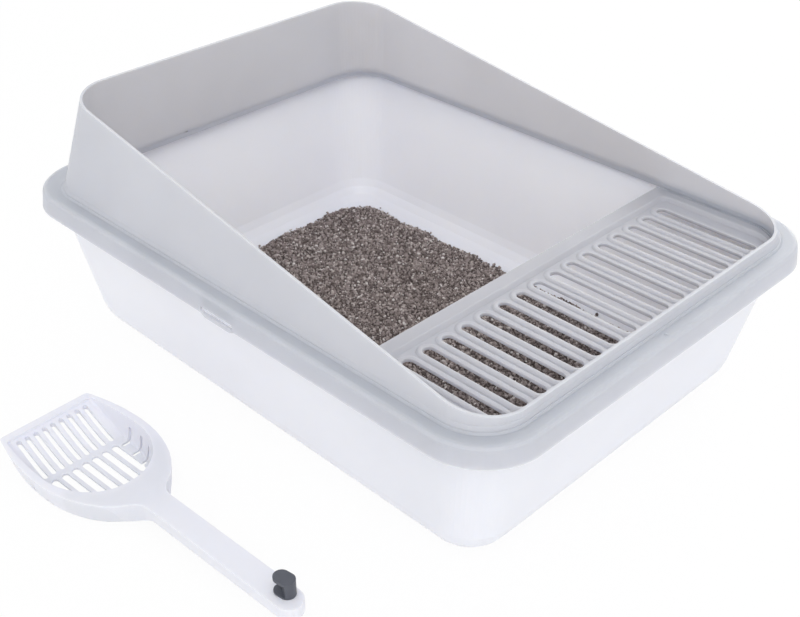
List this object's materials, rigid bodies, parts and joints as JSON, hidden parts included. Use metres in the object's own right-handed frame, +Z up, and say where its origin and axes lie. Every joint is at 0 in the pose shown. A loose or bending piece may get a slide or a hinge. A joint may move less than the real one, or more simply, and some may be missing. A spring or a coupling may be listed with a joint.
{
  "type": "open litter pan with high-back shield",
  "caption": "Open litter pan with a lift-off sloping high-back shield frame, a slotted entry grate, a thin bed of litter and a slotted scoop with a hanging hook.",
  "frame": {"origin": "centre of the pan's flat underside, on the floor", "axes": "+Z up; +Y towards the high back of the shield, so the entry faces -Y; X across the pan, with the scoop lying on the -X side"},
  "size_m": [0.5068, 0.5, 0.208],
  "materials": {
    "pan_white": "satin moulded",
    "frame_grey": "satin moulded",
    "grate_grey": "fine matt",
    "litter": "loose granules",
    "scoop_white": "satin moulded",
    "hook_dark": "matt"
  },
  "bodies": {
    "pan": {"pan": "pan_white", "litter_bed": "litter"},
    "frame": {"shield_frame": "frame_grey"},
    "grate": {"entry_grate": "grate_grey"},
    "scoop": {"scoop": "scoop_white", "scoop_hook": "hook_dark"}
  },
  "joints": [
    {"name": "shield_lift", "type": "slide", "parent": "pan", "child": "frame", "axis": [0, 0, 1], "range_m": [0, 0.25]},
    {"name": "grate_lift", "type": "slide", "parent": "frame", "child": "grate", "axis": [0, 0, 1], "range_m": [0, 0.008]},
    {"name": "scoop_lift", "type": "slide", "parent": "pan", "child": "scoop", "axis": [0, 0, 1], "range_m": [0, 0.3]}
  ]
}
